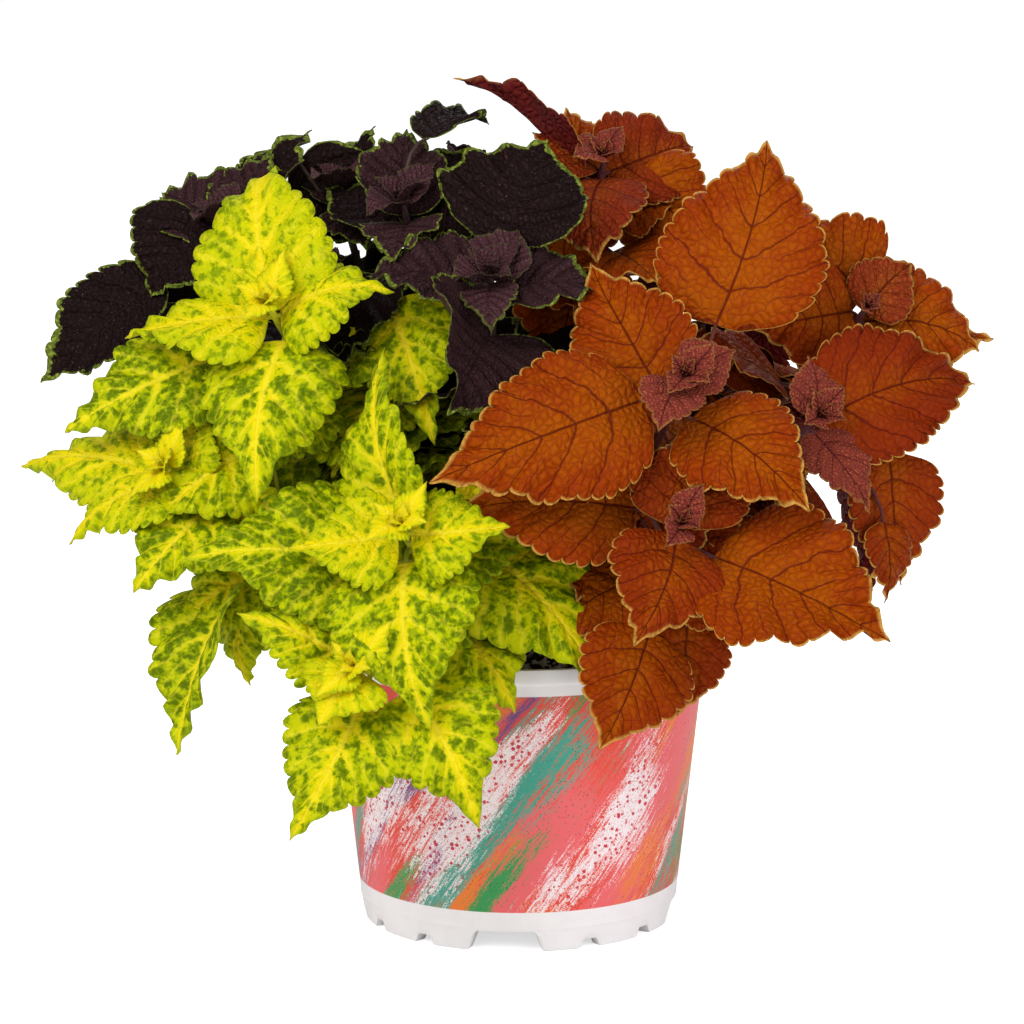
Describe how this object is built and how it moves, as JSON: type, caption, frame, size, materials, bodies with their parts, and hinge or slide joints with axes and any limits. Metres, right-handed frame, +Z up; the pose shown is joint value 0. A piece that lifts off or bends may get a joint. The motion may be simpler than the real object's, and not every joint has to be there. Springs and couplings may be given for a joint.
{
  "type": "potted coleus",
  "caption": "Trio of coleus, lime, dark and rust-orange, growing as leafy stems from soil in a round tapered nursery pot.",
  "frame": {"origin": "under the middle of the whole plant's bounding box, on the surface the pot stands on", "axes": "+Z up, -Y towards the side where the lime plant hangs over the pot's rim, +X towards the orange plant"},
  "size_m": [0.4252, 0.3404, 0.3733],
  "materials": {
    "pot": "smooth moulded white plastic with a printed speckled band",
    "soil": "moist peat and bark potting mix",
    "lime_foliage": "satin leaf, yellow veins on green",
    "dark_foliage": "satin leaf, near black with a lime margin",
    "orange_foliage": "satin leaf, rust orange with dark red veins"
  },
  "bodies": {
    "root": {"pot": "pot", "soil": "soil", "lime_stem_1": "lime_foliage", "lime_stem_2": "lime_foliage", "lime_stem_3": "lime_foliage", "lime_stem_4": "lime_foliage", "lime_stem_5": "lime_foliage", "lime_stem_6": "lime_foliage", "lime_stem_7": "lime_foliage", "dark_stem_1": "dark_foliage", "dark_stem_2": "dark_foliage", "dark_stem_3": "dark_foliage", "dark_stem_4": "dark_foliage", "dark_stem_5": "dark_foliage", "dark_stem_6": "dark_foliage", "dark_stem_7": "dark_foliage", "dark_stem_8": "dark_foliage", "orange_stem_1": "orange_foliage", "orange_stem_2": "orange_foliage", "orange_stem_3": "orange_foliage", "orange_stem_4": "orange_foliage", "orange_stem_5": "orange_foliage", "orange_stem_6": "orange_foliage", "orange_stem_7": "orange_foliage", "orange_stem_8": "orange_foliage", "orange_stem_9": "orange_foliage"}
  },
  "joints": []
}
